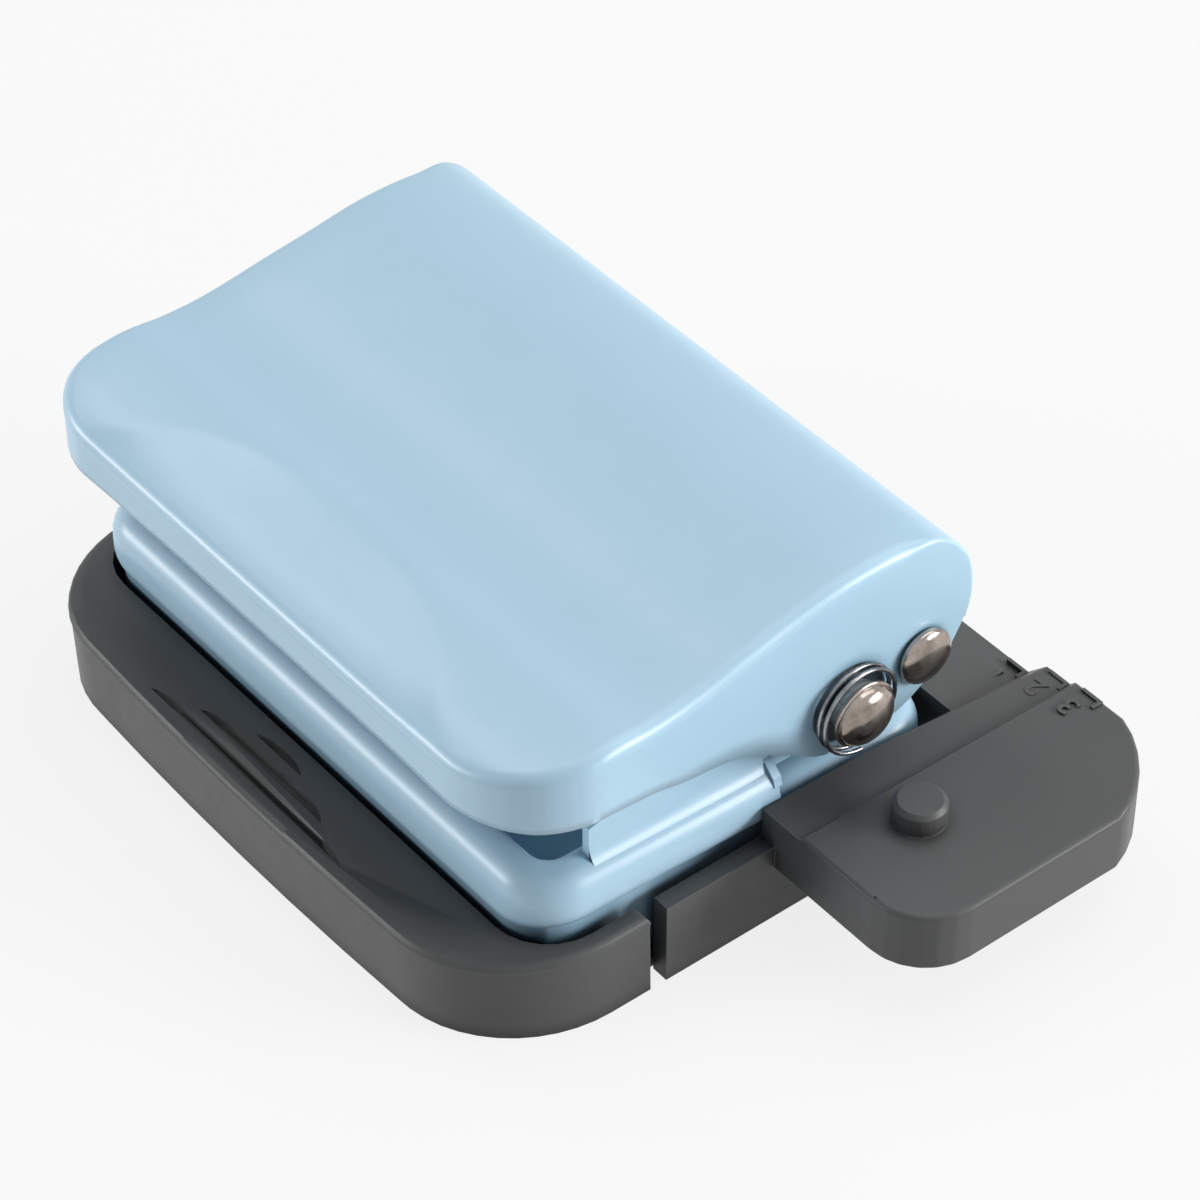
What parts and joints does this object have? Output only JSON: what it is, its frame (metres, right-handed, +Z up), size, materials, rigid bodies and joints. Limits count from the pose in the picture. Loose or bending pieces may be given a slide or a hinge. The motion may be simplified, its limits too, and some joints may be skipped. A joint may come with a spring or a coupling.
{
  "type": "hole punch",
  "caption": "Small desk punch that cuts a row of round holes in loose-leaf paper, with a broad pressed handle, a chip tray below and a stepped paper gauge at the side",
  "frame": {"origin": "on the table under the middle of the bounding box", "axes": "+X along the row of holes towards the gauge's wing, +Y towards the side where the paper goes in, +Z up"},
  "size_m": [0.1084, 0.0756, 0.0402],
  "materials": {
    "blue_paint": "satin light blue enamel on pressed steel",
    "grey_plastic": "fine matt dark grey moulded plastic",
    "steel": "plain zinc-coated steel",
    "nickel": "polished nickel",
    "spring_steel": "drawn spring steel wire"
  },
  "bodies": {
    "base": {"pivot_pin": "nickel", "frame_shell": "blue_paint", "die_plate": "steel", "punch_bracket": "steel", "tray_hinge_rod": "steel", "paper_gauge": "grey_plastic", "pivot_spacer_left": "steel", "die_rivet_left": "steel", "gauge_screw_left": "steel", "bracket_rivet_left_lower": "steel", "bracket_rivet_left_upper": "steel", "pivot_spacer_right": "steel", "die_rivet_right": "steel", "gauge_screw_right": "steel", "bracket_rivet_right_lower": "steel", "bracket_rivet_right_upper": "steel", "punch_spring_1": "spring_steel", "punch_spring_2": "spring_steel", "punch_spring_3": "spring_steel", "punch_spring_4": "spring_steel", "punch_spring_5": "spring_steel", "punch_spring_6": "spring_steel"},
    "handle": {"handle_shell": "blue_paint", "press_rod": "steel", "press_cap_left": "nickel", "press_cap_right": "nickel", "press_bushing_left": "steel", "press_bushing_right": "steel", "press_coil_left": "spring_steel", "press_coil_right": "spring_steel"},
    "punches": {"punch_1": "steel", "punch_2": "steel", "punch_3": "steel", "punch_4": "steel", "punch_5": "steel", "punch_6": "steel", "punch_clip_1": "spring_steel", "punch_clip_2": "spring_steel", "punch_clip_3": "spring_steel", "punch_clip_4": "spring_steel", "punch_clip_5": "spring_steel", "punch_clip_6": "spring_steel"},
    "tray": {"chip_tray": "grey_plastic"}
  },
  "joints": [
    {"name": "handle_press", "type": "hinge", "parent": "base", "child": "handle", "pos_m": [-0.00915, 0.01997, 0.0248], "axis": [1, 0, 0], "range_deg": [0, 17.5], "stiffness_Nm_per_rad": 0.4, "springref_deg": -14.32},
    {"name": "punch_slide", "type": "slide", "parent": "base", "child": "punches", "axis": [0, 0, -1], "range_m": [0, 0.0029], "deforming": ["punch_spring_1", "punch_spring_2", "punch_spring_3", "punch_spring_4", "punch_spring_5", "punch_spring_6"]},
    {"name": "tray_open", "type": "hinge", "parent": "base", "child": "tray", "pos_m": [-0.00915, 0.0198, 0.0036], "axis": [1, 0, 0], "range_deg": [0, 75]}
  ],
  "couplings": [
    {"joint": "punch_slide", "follows": "handle_press", "m_per_rad": 0.009383}
  ]
}
